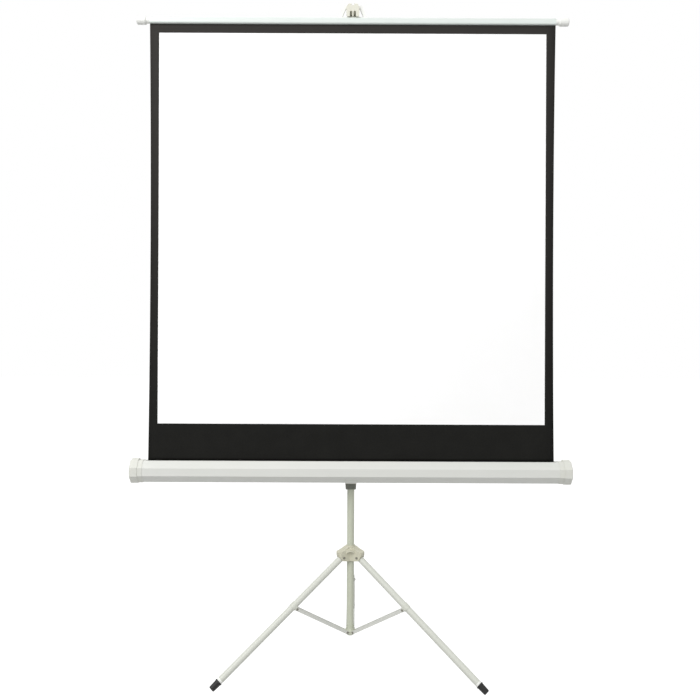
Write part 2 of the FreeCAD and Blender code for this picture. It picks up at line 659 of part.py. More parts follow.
def mast_lock_knob():
    """A scalloped knob on a stud that bears on the mast."""
    start = V(0, LOCK_BOSS_END + LOOSE, LOCK_Z)
    stud = cylinder(LOCK_STUD_R, V(0, MAST_R + LOOSE, LOCK_Z), start + AXIS_Y * WELD)
    hub = cylinder(KNOB_HUB_R, start, start + AXIS_Y * (KNOB_HUB + WELD))
    rim_start = start + AXIS_Y * KNOB_HUB
    rim_end = rim_start + AXIS_Y * KNOB_THICK
    rim = bevelled(cylinder(KNOB_R, rim_start, rim_end), KNOB_EDGE,
                   lambda edge: span(edge, AXIS_Y) < WELD)
    for lobe in range(KNOB_LOBES):
        angle = 2 * pi * (lobe + 0.5) / KNOB_LOBES
        place = V(cos(angle), 0, sin(angle)) * (KNOB_R + KNOB_SCALLOP_R / 2)
        rim = rim.cut(cylinder(KNOB_SCALLOP_R, rim_start + place - AXIS_Y * OVERRUN,
                               rim_end + place + AXIS_Y * OVERRUN))
    return fused(stud, hub, rim)


def mast_tube():
    return ring(MAST_R, MAST_R - MAST_WALL, V(0, 0, MAST_BOTTOM), V(0, 0, MAST_TOP))


def mast_guide():
    """The bush on the mast's lower end, which runs in the post."""
    return ring(MAST_BORE_R - RUN_FIT, MAST_R, V(0, 0, MAST_BOTTOM), V(0, 0, MAST_BOTTOM + MAST_GUIDE))


def hook_nose():
    """The upright front of the hook: narrower above, with a notch between two ears."""
    front = -HOOK_NOSE_FRONT
    low = HOOK_NOSE_WIDTH / 2
    high = HOOK_NOSE_TOP_WIDTH / 2
    nose = polygon([V(-low, front, HOOK_NOSE_BOTTOM), V(low, front, HOOK_NOSE_BOTTOM),
                    V(low, front, HOOK_SEAT), V(high, front, HOOK_NOSE_TOP),
                    V(-high, front, HOOK_NOSE_TOP), V(-low, front, HOOK_SEAT)])
    nose = nose.extrude(AXIS_Y * HOOK_NOSE_THICK)
    ear = (HOOK_NOSE_TOP_WIDTH - HOOK_NOTCH_WIDTH) / 4
    nose = rounded(nose, ear, lambda edge: span(edge, AXIS_Y) > HOOK_NOSE_THICK / 2)
    notch = slab(V(-HOOK_NOTCH_WIDTH / 2, front - OVERRUN, HOOK_NOSE_TOP - HOOK_NOTCH_DEPTH),
                 V(HOOK_NOTCH_WIDTH / 2, front + HOOK_NOSE_THICK + OVERRUN, HOOK_NOSE_TOP + OVERRUN))
    return nose.cut(notch)


def hook_window(side):
    """An arched doorway in the nose that runs on as a channel under the arm."""
    middle = side * (HOOK_RIB + HOOK_WINDOW_WIDTH) / 2
    half = HOOK_WINDOW_WIDTH / 2
    front = -HOOK_NOSE_FRONT - OVERRUN
    back = -HOOK_NOSE_FRONT + HOOK_WINDOW_DEPTH
    spring = HOOK_ARM_BOTTOM + HOOK_WINDOW_RISE - half
    straight = slab(V(middle - half, front, HOOK_NOSE_BOTTOM - OVERRUN), V(middle + half, back, spring))
    arch = cylinder(half, V(middle, front, spring), V(middle, back, spring))
    return fused(straight, arch)


def hook_head():
    """A casting on the mast that reaches forward under the handle and turns up before it."""
    sleeve = cylinder(HOOK_SLEEVE_R, V(0, 0, HOOK_SLEEVE_BOTTOM), V(0, 0, HOOK_SLEEVE_TOP))
    sleeve = bevelled(sleeve, HOOK_EDGE, lambda edge: flat_at(edge, AXIS_Z, HOOK_SLEEVE_TOP))
    half = HOOK_ARM_WIDTH / 2
    waist = SCREEN_Y + HANDLE_THICK
    top_view = polygon([V(-half, -HOOK_NOSE_FRONT + WELD, HOOK_ARM_BOTTOM),
                        V(half, -HOOK_NOSE_FRONT + WELD, HOOK_ARM_BOTTOM),
                        V(half, waist, HOOK_ARM_BOTTOM),
                        V(HOOK_SLEEVE_R, 0, HOOK_ARM_BOTTOM), V(-HOOK_SLEEVE_R, 0, HOOK_ARM_BOTTOM),
                        V(-half, waist, HOOK_ARM_BOTTOM)])
    arm = top_view.extrude(AXIS_Z * HOOK_ARM_THICK)
    head = fused(sleeve, arm, hook_nose())
    windows = fused(hook_window(-1), hook_window(1))
    socket = cylinder(MAST_R, V(0, 0, HOOK_SLEEVE_BOTTOM - OVERRUN), V(0, 0, MAST_TOP))
    rivet = cylinder(HOOK_RIVET_R, V(0, 0, HOOK_RIVET_Z), V(0, HOOK_SLEEVE_R + OVERRUN, HOOK_RIVET_Z))
    return head.cut(fused(windows, socket, rivet))


def hook_rivet():
    face = V(0, HOOK_SLEEVE_R, HOOK_RIVET_Z)
    shank = cylinder(HOOK_RIVET_R, V(0, MAST_R, HOOK_RIVET_Z), face + AXIS_Y * WELD)
    return fused(shank, rivet_head(face, AXIS_Y))


def octagon(grow):
    """Corners of the case's section in the plane of Y and Z, grown on every side."""
    across = CASE_DEPTH / 2 + grow
    up = CASE_HEIGHT / 2 + grow
    flat = CASE_FLAT / 2 + grow * (sqrt(2) - 1)
    corners = [(-across, -flat), (-flat, -up), (flat, -up), (across, -flat),
               (across, flat), (flat, up), (-flat, up), (-across, flat)]
    return [(SCREEN_Y + y, CASE_Z + z) for y, z in corners]


def case_prism(grow, start, end):
    section = polygon([V(start, y, z) for y, z in octagon(grow)])
    return section.extrude(AXIS_X * (end - start))


def case_shell():
    half = CASE_LENGTH / 2
    shell = case_prism(0, -half, half).cut(case_prism(-CASE_WALL, -half - OVERRUN, half + OVERRUN))
    reach = FABRIC_WIDTH / 2 + SLOT_MARGIN
    slot = slab(V(-reach, SCREEN_Y - SLOT_WIDTH / 2, CASE_TOP - OVERRUN),
                V(reach, SCREEN_Y + SLOT_WIDTH / 2, CASE_TOP + OVERRUN))
    return shell.cut(slot)


def case_cap():
    """The right end cap: a rounded head, a slimmer collar and a bearing for the roller."""
    half = CASE_LENGTH / 2
    end = half + CAP_HEAD
    head = case_prism(CAP_PROUD, half, end)
    head = rounded(head, CAP_EDGE, lambda edge: flat_at(edge, AXIS_X, end))
    collar = case_prism(CAP_COLLAR_PROUD, half - CAP_COLLAR, half + WELD)
    crest_z = CASE_TOP + CAP_PROUD + CAP_CREST - CAP_CREST_R
    crest = cylinder(CAP_CREST_R, V(half, SCREEN_Y, crest_z), V(end - CAP_EDGE, SCREEN_Y, crest_z))
    room = case_prism(0, half - CAP_COLLAR - OVERRUN, half)
    pocket = case_prism(-CAP_WALL, half - WELD, end - CAP_WALL)
    bearing = ring(BEARING_R, AXLE_R + RUN_FIT, V(BEARING_START, SCREEN_Y, CASE_Z),
                   V(end - CAP_WALL + WELD, SCREEN_Y, CASE_Z))
    shell = fused(head, collar, crest).cut(fused(room, pocket))
    return fused(shell, bearing)


def case_cap_left():
    """The left cap grips the spring shaft, which doesn't turn."""
    end = CASE_LENGTH / 2 + CAP_HEAD
    bush = ring(AXLE_R + 2 * RUN_FIT, AXLE_R, V(-end + CAP_WALL, SCREEN_Y, CASE_Z),
                V(-BEARING_START, SCREEN_Y, CASE_Z))
    return fused(mirrored(case_cap()), bush)


def case_wrap(width):
    """A strip of the bracket's plate all round the case."""
    half = width / 2
    return case_prism(BRACKET_THICK, -half, half).cut(case_prism(0, -half - OVERRUN, half + OVERRUN))


def mount_bracket():
    """A plate over the case's rear faces, with a disc for the pivot and a tongue under the case."""
    flat = CASE_FLAT / 2
    low = CASE_Z - CASE_HEIGHT / 2
    rear = slab(V(-BRACKET_LENGTH, SCREEN_Y + flat, CASE_Z - CASE_HEIGHT),
                V(BRACKET_LENGTH, CASE_BACK + CASE_DEPTH, CASE_Z + CASE_HEIGHT))
    under = slab(V(-TONGUE_WIDTH, SCREEN_Y - CASE_DEPTH, low - CASE_HEIGHT),
                 V(TONGUE_WIDTH, CASE_BACK + CASE_DEPTH, low + TONGUE_RISE))
    tongue = case_wrap(TONGUE_WIDTH).common(under)
    for side in (-1, 1):
        place = V(side * TONGUE_WIDTH / 4, SCREEN_Y - CASE_DEPTH, low + TONGUE_RISE)
        tongue = tongue.cut(cylinder(TONGUE_ARCH_R, place, place + AXIS_Y * CASE_DEPTH / 2))
    back = CASE_BACK + BRACKET_THICK
    disc = cylinder(BRACKET_DISC_R, V(0, back - WELD, CASE_Z), V(0, back + BRACKET_DISC, CASE_Z))
    hole = cylinder(PIVOT_R, V(0, CASE_BACK - WELD, CASE_Z), V(0, back + BRACKET_DISC + OVERRUN, CASE_Z))
    return fused(case_wrap(BRACKET_LENGTH).common(rear), tongue, disc).cut(hole)


def pivot_pin():
    """The stub fixed in the bracket, on which the case turns in the carriage."""
    return cylinder(PIVOT_R, V(0, CASE_BACK, CASE_Z), V(0, -PIVOT_END, CASE_Z))


def bracket_screws():
    """Two screws in each slanted rear face of the bracket."""
    screws = []
    outer = octagon(BRACKET_THICK)
    for start, end in ((outer[3], outer[2]), (outer[4], outer[5])):
        y = start[0] + (end[0] - start[0]) * (1 - SCREW_SHARE)
        z = start[1] + (end[1] - start[1]) * (1 - SCREW_SHARE)
        outward = V(0, 1, (z - CASE_Z) / abs(z - CASE_Z) * abs((end[0] - start[0]) / (end[1] - start[1])))
        outward = outward / outward.Length
        for side in (-1, 1):
            face = V(side * SCREW_X, y, z)
            screws.append(cylinder(SCREW_R, face, face + outward * SCREW_HEAD))
    return Part.makeCompound(screws)


def roller_tube():
    half = ROLLER_LENGTH / 2
    return ring(ROLLER_R, ROLLER_R - ROLLER_WALL, V(-half, SCREEN_Y, CASE_Z), V(half, SCREEN_Y, CASE_Z))


def roller_plug(side):
    """A plug in the roller's end with a flange that guides the fabric's edge."""
    half = ROLLER_LENGTH / 2
    inner = V(side * (half - ROLLER_PLUG), SCREEN_Y, CASE_Z)
    face = V(side * half, SCREEN_Y, CASE_Z)
    outer = V(side * (half + ROLLER_FLANGE), SCREEN_Y, CASE_Z)
    return fused(cylinder(ROLLER_R - ROLLER_WALL, inner, outer), cylinder(ROLLER_FLANGE_R, face, outer))


def roller_plug_right():
    start = V(ROLLER_LENGTH / 2, SCREEN_Y, CASE_Z)
    return fused(roller_plug(1), cylinder(AXLE_R, start, V(AXLE_END, SCREEN_Y, CASE_Z)))


def roller_plug_left():
    bore = cylinder(AXLE_R + RUN_FIT, V(-AXLE_END, SCREEN_Y, CASE_Z),
                    V(-ROLLER_LENGTH / 2 + ROLLER_PLUG + OVERRUN, SCREEN_Y, CASE_Z))
    return roller_plug(-1).cut(bore)


def fabric_roll():
    half = FABRIC_WIDTH / 2
    return ring(ROLL_R, ROLLER_R, V(-half, SCREEN_Y, CASE_Z), V(half, SCREEN_Y, CASE_Z))


def spring_shaft():
    """The still shaft in the roller, with the collar that anchors the spring."""
    anchor = V(-SPRING_END + ANCHOR_LENGTH, SCREEN_Y, CASE_Z)
    shaft = cylinder(AXLE_R, V(-AXLE_END, SCREEN_Y, CASE_Z), anchor)
    return fused(shaft, cylinder(SPRING_R, V(-SPRING_END, SCREEN_Y, CASE_Z), anchor))


def roller_spring():
    """The close-wound torsion spring, drawn as the tube that its turns make."""
    return ring(SPRING_R, SPRING_R - SPRING_WIRE, V(-SPRING_START, SCREEN_Y, CASE_Z),
                V(-SPRING_END, SCREEN_Y, CASE_Z))


def screen_fabric():
    """The sheet from the roller up through the slot and into the slat, slightly waisted."""
    half = FABRIC_WIDTH / 2
    low = CASE_TOP - CASE_WALL
    top = SLAT_BOTTOM + HEM_IN
    middle = (CASE_TOP + SLAT_BOTTOM) / 2
    front = SCREEN_Y - FABRIC_THICK / 2
    corners = [V(-half, front, low), V(half, front, low), V(half, front, top), V(-half, front, top)]
    face = outline(line(corners[0], corners[1]),
                   arc(corners[1], V(half - FABRIC_WAIST, front, middle), corners[2]),
                   line(corners[2], corners[3]),
                   arc(corners[3], V(-half + FABRIC_WAIST, front, middle), corners[0]))
    sheet = face.extrude(AXIS_Y * FABRIC_THICK)
    rise = low - CASE_Z
    reach = ROLL_R + LOOSE / 3
    lean = acos(reach / rise)
    leave = V(-half, SCREEN_Y - reach * sin(lean), CASE_Z + reach * cos(lean))
    outward = V(0, -sin(lean), cos(lean)) * FABRIC_THICK
    leader = polygon([leave, leave + outward, V(-half, front, low + WELD),
                      V(-half, front + FABRIC_THICK, low + WELD)])
    return fused(sheet, leader.extrude(AXIS_X * FABRIC_WIDTH))


def slat_bar(shrink, start, end):
    y = SLAT_DEPTH / 2 - shrink
    z = SLAT_HEIGHT / 2 - shrink
    middle = V(0, SCREEN_Y, SLAT_BOTTOM + SLAT_HEIGHT / 2)
    bar = slab(middle + V(start, -y, -z), middle + V(end, y, z))
    return rounded(bar, SLAT_CORNER - shrink, lambda edge: span(edge, AXIS_X) > WELD)


def top_slat():
    half = FABRIC_WIDTH / 2
    bar = slat_bar(0, -half, half)
    hollow = slat_bar(SLAT_WALL, -half - OVERRUN, half + OVERRUN)
    gap = slab(V(-half - OVERRUN, SCREEN_Y - FABRIC_THICK, SLAT_BOTTOM - OVERRUN),
               V(half + OVERRUN, SCREEN_Y + FABRIC_THICK, SLAT_BOTTOM + OVERRUN))
    return bar.cut(fused(hollow, gap))


def hem_rod():
    """The rod in the fabric's top hem, which holds it in the slat."""
    half = FABRIC_WIDTH / 2 - TOP_CAP_PLUG - LOOSE
    z = SLAT_BOTTOM + HEM_IN + HEM_ROD_R
    return cylinder(HEM_ROD_R, V(-half, SCREEN_Y, z), V(half, SCREEN_Y, z))


def top_cap():
    """The right end cap of the slat: a plug, a neck and a rounded barrel."""
    half = FABRIC_WIDTH / 2
    z = SLAT_BOTTOM + SLAT_HEIGHT / 2
    plug = slat_bar(SLAT_WALL, half - TOP_CAP_PLUG, half + WELD)
    neck = cylinder(TOP_CAP_NECK_R, V(half, SCREEN_Y, z), V(half + TOP_CAP_NECK + WELD, SCREEN_Y, z))
    start = V(half + TOP_CAP_NECK, SCREEN_Y, z)
    barrel = cylinder(TOP_CAP_R, start, start + AXIS_X * TOP_CAP_LENGTH)
    barrel = rounded(barrel, TOP_CAP_EDGE, lambda edge: span(edge, AXIS_X) < WELD)
    slit = slab(V(half - TOP_CAP_PLUG - OVERRUN, SCREEN_Y - FABRIC_THICK, SLAT_BOTTOM),
                V(half, SCREEN_Y + FABRIC_THICK, z + HEM_ROD_R))
    return fused(plug.cut(slit), neck, barrel)


def handle_prism(inset_side, top, bottom, rounding):
    """The handle's outline, narrower above, drawn in by an inset and rounded at its shoulders."""
    low = HANDLE_WIDTH / 2 - inset_side
    high = HANDLE_SHOULDER / 2 - inset_side
    front = SCREEN_Y - HANDLE_THICK / 2
    shape = polygon([V(-low, front, bottom), V(low, front, bottom), V(high, front, top),
                     V(-high, front, top)]).extrude(AXIS_Y * HANDLE_THICK)
    return rounded(shape, rounding,
                   lambda edge: flat_at(edge, AXIS_Z, top) and span(edge, AXIS_Y) > WELD)


def pull_handle():
    """A D-shaped handle on a flange that is screwed to the slat."""
    outer = handle_prism(0, SLAT_TOP + HANDLE_HEIGHT, SLAT_TOP, HANDLE_ROUND)
    opening = handle_prism(HANDLE_LEG, SEAT_Z, SLAT_TOP, HANDLE_INNER_ROUND)
    half = V(HANDLE_WIDTH / 2 + HANDLE_FOOT, SLAT_DEPTH / 2 - SLAT_CORNER, 0)
    middle = V(0, SCREEN_Y, SLAT_TOP)
    flange = slab(middle - half, middle + half + AXIS_Z * HANDLE_FLANGE)
    return fused(outer.cut(opening), flange)


def handle_screws():
    screws = []
    for side in (-1, 1):
        top = V(side * (HANDLE_WIDTH + HANDLE_FOOT) / 2, SCREEN_Y, SLAT_TOP + HANDLE_FLANGE)
        screws.append(cylinder(HANDLE_SCREW_R, top, top + AXIS_Z * SCREW_HEAD))
    return Part.makeCompound(screws)


def carriage_block():
    """A sleeve round the post with a boss towards the case and a wider skirt below."""
    sleeve = cylinder(CARRIAGE_R, V(0, 0, CARRIAGE_BOTTOM), V(0, 0, CARRIAGE_TOP))
    half = CARRIAGE_WIDTH / 2
    cheek = slab(V(-half, -CARRIAGE_FRONT, CARRIAGE_BOTTOM + CARRIAGE_SKIRT),
                 V(half, CARRIAGE_EDGE, CARRIAGE_TOP - CARRIAGE_EDGE))
    skirt = slab(V(-half, -CARRIAGE_FRONT, CARRIAGE_BOTTOM),
                 V(half, CARRIAGE_R, CARRIAGE_BOTTOM + CARRIAGE_SKIRT + WELD))
    skirt = rounded(skirt, CARRIAGE_CORNER, lambda edge: span(edge, AXIS_Z) > CARRIAGE_SKIRT / 2)
    face = CASE_BACK + BRACKET_THICK + BRACKET_DISC + LOOSE
    boss = cylinder(PIVOT_BOSS_R, V(0, -CARRIAGE_FRONT + WELD, CASE_Z), V(0, face, CASE_Z))
    bore = cylinder(POST_R + RUN_FIT, V(0, 0, CARRIAGE_BOTTOM - OVERRUN), V(0, 0, CARRIAGE_TOP + OVERRUN))
    pocket = cylinder(SPRING_POCKET_R, V(0, 0, CARRIAGE_BOTTOM - OVERRUN),
                      V(0, 0, CARRIAGE_BOTTOM + SPRING_POCKET))
    pivot = cylinder(PIVOT_R + RUN_FIT, V(0, face - OVERRUN, CASE_Z), V(0, -PIVOT_END + LOOSE, CASE_Z))
    return fused(sleeve, cheek, skirt, boss).cut(fused(bore, pocket, pivot))


def rounded_plate(width, depth, corner, height):
    """A level outline with rounded corners, as a wire."""
    half = V(width / 2, depth / 2, 0)
    block = slab(AXIS_Z * height - half, AXIS_Z * (height + RELEASE_HEIGHT) + half)
    block = rounded(block, corner, lambda edge: span(edge, AXIS_Z) > WELD)
    return [face for face in block.Faces
            if all(flat_at(edge, AXIS_Z, height) for edge in face.Edges)][0].OuterWire


def release_collar():
    """The pull-down collar: a block that draws in downwards, with a thumb recess in front."""
    upper = rounded_plate(RELEASE_WIDTH, RELEASE_DEPTH, RELEASE_CORNER, RELEASE_TOP)
    lower = rounded_plate(RELEASE_WIDTH - 2 * RELEASE_TAPER, RELEASE_DEPTH - 2 * RELEASE_TAPER,
                          RELEASE_CORNER - RELEASE_TAPER, RELEASE_BOTTOM)
    block = Part.makeLoft([lower, upper], True, True)
    spigot = cylinder(SPRING_POCKET_R - LOOSE, V(0, 0, RELEASE_TOP - WELD),
                      V(0, 0, CARRIAGE_BOTTOM + RELEASE_SPIGOT))
    half = PAD_WIDTH / 2
    front = V(0, -RELEASE_DEPTH / 2 - OVERRUN, RELEASE_BOTTOM)
    deep = AXIS_Y * (OVERRUN + RELEASE_TAPER + PAD_DEPTH)
    spring = front + AXIS_Z * (PAD_HEIGHT - half)
    pad = fused(cylinder(half, spring, spring + deep),
                slab(front - V(half, 0, OVERRUN), spring + deep + AXIS_X * half))
    bore = cylinder(POST_R + RUN_FIT, V(0, 0, RELEASE_BOTTOM - OVERRUN),
                    V(0, 0, CARRIAGE_BOTTOM + RELEASE_SPIGOT + OVERRUN))
    hollow = cylinder(RELEASE_HOLLOW_R, V(0, 0, RELEASE_BOTTOM - OVERRUN),
                      V(0, 0, RELEASE_BOTTOM + RELEASE_HOLLOW))
    return fused(block, spigot).cut(fused(bore, pad, hollow))


def collar_spring():
    """The coil in the carriage that holds the release collar up, as the tube its turns make."""
    middle = (POST_R + SPRING_POCKET_R) / 2
    return ring(middle + COIL_WIRE / 2, middle - COIL_WIRE / 2,
                V(0, 0, CARRIAGE_BOTTOM + RELEASE_SPIGOT), V(0, 0, CARRIAGE_BOTTOM + SPRING_POCKET))


def leg_pieces():
    builders = {"leg_tube": leg_tube, "leg_knuckle": leg_knuckle, "strut_clip": strut_clip,
                "ferrule": leg_ferrule, "foot": leg_foot, "strut_bars": strut_bars,
                "strut_rivets": strut_rivets}
    for name, build in builders.items():
        shape = build()
        for place, azimuth in LEG_AZIMUTHS.items():
            yield place + "_" + name, at_leg(shape, azimuth)


def other_pieces():
    yield "post_tube", post_tube()
    yield "foot_cup", foot_cup()
    yield "hub_stop_pin", hub_stop_pins()
    yield "post_top_collar", top_collar()
    yield "mast_lock_knob", mast_lock_knob()
    yield "leg_hub", leg_hub()
    yield "hub_pins", hub_pins()
    yield "carriage_block", carriage_block()
    yield "release_collar", release_collar()
    yield "collar_spring", collar_spring()
    yield "mast_tube", mast_tube()
    yield "mast_guide", mast_guide()
    yield "hook_head", hook_head()
    yield "hook_rivet", hook_rivet()
    yield "case_shell", case_shell()
    yield "case_cap_right", case_cap()
    yield "case_cap_left", case_cap_left()
    yield "mount_bracket", mount_bracket()
    yield "pivot_pin", pivot_pin()
    yield "bracket_screws", bracket_screws()
    yield "spring_shaft", spring_shaft()
    yield "roller_spring", roller_spring()
    yield "roller_tube", roller_tube()
    yield "roller_plug_left", roller_plug_left()
    yield "roller_plug_right", roller_plug_right()
    yield "fabric_roll", fabric_roll()
    yield "screen_fabric", screen_fabric()
    yield "top_slat", top_slat()
    yield "top_cap_right", top_cap()
    yield "top_cap_left", mirrored(top_cap())
    yield "hem_rod", hem_rod()
    yield "pull_handle", pull_handle()
    yield "handle_screws", handle_screws()


os.makedirs("parts", exist_ok=True)
for pieces in (leg_pieces(), other_pieces()):
    for name, shape in pieces:
        if not shape.isValid():
            print("not valid:", name)
        shape.exportStep("parts/" + name + ".step")
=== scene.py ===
"""Pull-up projection screen on a tripod: finishes, cloth, screw heads, stage and camera."""
import json
import math

import bpy
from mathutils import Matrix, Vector


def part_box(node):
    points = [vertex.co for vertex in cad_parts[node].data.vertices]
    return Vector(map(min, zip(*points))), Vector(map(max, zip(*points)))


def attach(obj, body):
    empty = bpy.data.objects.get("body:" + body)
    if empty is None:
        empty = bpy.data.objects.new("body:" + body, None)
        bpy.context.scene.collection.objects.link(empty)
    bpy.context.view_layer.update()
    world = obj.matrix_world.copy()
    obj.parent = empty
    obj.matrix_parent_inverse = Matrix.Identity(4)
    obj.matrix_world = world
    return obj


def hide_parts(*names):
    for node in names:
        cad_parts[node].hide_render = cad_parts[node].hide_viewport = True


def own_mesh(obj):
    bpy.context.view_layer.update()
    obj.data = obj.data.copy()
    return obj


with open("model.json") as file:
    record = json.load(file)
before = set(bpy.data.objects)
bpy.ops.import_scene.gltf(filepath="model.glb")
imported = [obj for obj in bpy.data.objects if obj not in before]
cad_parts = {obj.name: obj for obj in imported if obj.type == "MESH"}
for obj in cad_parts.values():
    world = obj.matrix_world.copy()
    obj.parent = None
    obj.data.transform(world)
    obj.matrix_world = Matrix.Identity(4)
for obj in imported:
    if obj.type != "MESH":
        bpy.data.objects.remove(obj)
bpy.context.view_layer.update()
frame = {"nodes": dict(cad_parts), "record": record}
nodes = frame["nodes"]


def centre(node):
    low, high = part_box(node)
    return (low + high) / 2


def size(node):
    low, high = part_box(node)
    return high - low


# Places read from the frame, in metres
CASE = centre("case_shell")
CASE_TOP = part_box("case_shell")[1].z
SLAT_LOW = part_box("top_slat")[0]
SHEET_LOW, SHEET_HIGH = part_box("screen_fabric")
SHEET_HALF = (SHEET_HIGH.x - SHEET_LOW.x) / 2
ROLL_R = size("fabric_roll").y / 2
ROLLER_R = size("roller_tube").y / 2

# The hung cloth, in metres
CLOTH_THICK = 0.0006
CLOTH_WAIST = 0.005         # how far each side edge bows in
CLOTH_TUCK = 0.0012         # how far the hung part reaches into the case
BORDER_SIDE = 0.0365
BORDER_TOP = 0.035
BORDER_BOTTOM = 0.1445
CURL_DEPTH = 0.0032         # how far the side edges curl back
CURL_POWER = 7
RIPPLE_DEPTH = 0.0007
RIPPLE_LENGTH = 0.23
RIPPLE_TURNS = 2.3          # half turns of the ripple from the case to the slat
RIPPLE_START = 0.4
HOLD_POWER = 0.8            # how soon the waves fade where the case and the slat hold the cloth
CLOTH_COLUMNS = 60
CLOTH_ROWS = 72
CLOTH_BAND_ROWS = 10
CLOTH_TOP_ROWS = 4

# The cloth inside the case
LEADER_STEPS = 6
ROLL_STEPS = 48             # steps in one turn
ROLL_GAP = 0.00005          # between the roller and the first turn
ROLL_FILL = 0.9             # the cloth's share of each turn's room

# Looks
PATTERN_SPAN = (0.3, 0.7)   # the values of a noise that count as its lowest and highest
SCREEN_PITCH = 0.0009
BACKING_PITCH = 0.0011
SPRING_RELIEF = 0.0005
ROLLER_SPRING_PITCH = 0.0016
COLLAR_SPRING_PITCH = 0.0022

# Screw heads, in shares of their radius and height
HEAD_RINGS = 22
HEAD_STEPS = 48
HEAD_FLAT = 0.72            # radius at which the edge starts to round
HEAD_CROWN = 0.18
RECESS_HALF = 0.15
RECESS_REACH = 0.58
RECESS_SLOPE = 0.06
RECESS_DEPTH = 0.6
SCREW_TURN = 0.7            # radians from one screw to the next

# Camera and light, fitted to the photograph
CAMERA_PLACE = (-0.0056, -2.9484, 1.2476)
CAMERA_LENS = 37.57
CAMERA_SENSOR = 36.0
CAMERA_ROLL = -0.25
AMBIENT = 1.07
AMBIENT_SIDE = 0.25
LAMP_TARGET = (0.0, 0.0, 1.3)
LAMPS = (("key", (-3.2, -3.6, 4.8), 212.0, 3.0),    # name, place, power, width
         ("fill", (3.4, -4.6, 2.6), 42.0, 3.6))
FLOOR_REACH = 30.0
FLOOR_DROP = 0.05
FLOOR_BOUNCE = 0.5          # grey that lights the part from below
FLOOR_SEEN = 0.2            # grey that the camera sees, with the glow added
FLOOR_GLOW = 0.97
WHITE = (1, 1, 1, 1)


# Materials

def srgb(red, green, blue):
    """Linear colour of an 8-bit screen colour."""
    def linear(value):
        share = value / 255
        return share / 12.92 if share <= 0.04045 else ((share + 0.055) / 1.055) ** 2.4
    return (linear(red), linear(green), linear(blue), 1.0)


def add_node(tree, kind, **values):
    """A new shader node with some of its inputs set."""
    node = tree.nodes.new("ShaderNode" + kind)
    for name, value in values.items():
        node.inputs[name.replace("_", " ")].default_value = value
    return node


class Finish:
    """A material and the nodes that feed its shader."""

    def __init__(self, name, colour, roughness, metallic=0.0):
        self.name = name
        self.material = bpy.data.materials.new(name)
        self.material.use_nodes = True
        self.tree = self.material.node_tree
        self.shader = self.tree.nodes["Principled BSDF"]
        self.set(Base_Color=colour, Roughness=roughness, Metallic=metallic)
        self.place = add_node(self.tree, "TexCoord").outputs["Object"]
        self.height = None

    def set(self, **values):
        for name, value in values.items():
            self.shader.inputs[name.replace("_", " ")].default_value = value

    def link(self, source, target):
        self.tree.links.new(source, target)

    def noise(self, scale, detail, stretch=(1, 1, 1)):
        mapping = add_node(self.tree, "Mapping", Scale=stretch)
        texture = add_node(self.tree, "TexNoise", Scale=scale, Detail=detail)
        self.link(self.place, mapping.inputs["Vector"])
        self.link(mapping.outputs["Vector"], texture.inputs["Vector"])
        return texture.outputs["Fac"]

    def rise(self):
        """Height above the floor, for pieces whose origin is the world's."""
        parts = add_node(self.tree, "SeparateXYZ")
        self.link(self.place, parts.inputs["Vector"])
        return parts.outputs["Z"]

    def wave(self, pitch, direction):
        texture = add_node(self.tree, "TexWave", Scale=1 / pitch, Distortion=0.0)
        texture.bands_direction = direction
        self.link(self.place, texture.inputs["Vector"])
        return texture.outputs["Fac"]

    def spread(self, source, low, high, to_low=0.0, to_high=1.0):
        ranger = add_node(self.tree, "MapRange", From_Min=low, From_Max=high, To_Min=to_low, To_Max=to_high)
        self.link(source, ranger.inputs["Value"])
        return ranger.outputs["Result"]

    def multiply(self, first, second):
        product = add_node(self.tree, "Math")
        product.operation = "MULTIPLY"
        self.link(first, product.inputs[0])
        self.link(second, product.inputs[1])
        return product.outputs["Value"]

    def tint(self, factor, colour):
        """Mixes another colour over what the shader has by the factor."""
        mix = add_node(self.tree, "Mix")
        mix.data_type = "RGBA"
        base = self.shader.inputs["Base Color"]
        if base.is_linked:
            self.link(base.links[0].from_socket, mix.inputs["A"])
        else:
            mix.inputs["A"].default_value = base.default_value
        mix.inputs["B"].default_value = colour
        self.link(factor, mix.inputs["Factor"])
        self.link(mix.outputs["Result"], base)

    def mottle(self, colour, scale, detail, low, high, share=1.0):
        """Clouds of another colour, up to a share of it, where the noise lies between low and high."""
        self.tint(self.spread(self.noise(scale, detail), low, high, 0.0, share), colour)

    def gloss(self, scale, detail, low, high):
        """Roughness that drifts between two values."""
        drift = self.spread(self.noise(scale, detail), *PATTERN_SPAN, low, high)
        self.link(drift, self.shader.inputs["Roughness"])

    def bump(self, source, depth, strength=1.0):
        """Relief on top of the relief that is there."""
        node = add_node(self.tree, "Bump", Distance=depth, Strength=strength)
        self.link(source, node.inputs["Height"])
        if self.height is not None:
            self.link(self.height, node.inputs["Normal"])
        self.height = node.outputs["Normal"]
        self.link(self.height, self.shader.inputs["Normal"])

    def weave(self, pitch, depth, strength):
        """The plain weave of the base cloth, which shows through its coating."""
        self.bump(self.multiply(self.wave(pitch, "X"), self.wave(pitch, "Z")), depth, strength)


def powder_coat(name, colour, shade, roughness, grain=1400.0):
    """Baked paint: a fine orange peel, faint mottling and rubbed patches."""
    finish = Finish(name, colour, roughness)
    finish.mottle(shade, scale=9.0, detail=4.0, low=0.35, high=0.75, share=0.5)
    finish.gloss(scale=60.0, detail=3.0, low=roughness - 0.07, high=roughness + 0.09)
    finish.bump(finish.noise(grain, detail=2.0), depth=0.00006, strength=0.7)
    finish.bump(finish.noise(120.0, detail=2.0), depth=0.0002, strength=0.25)
    return finish


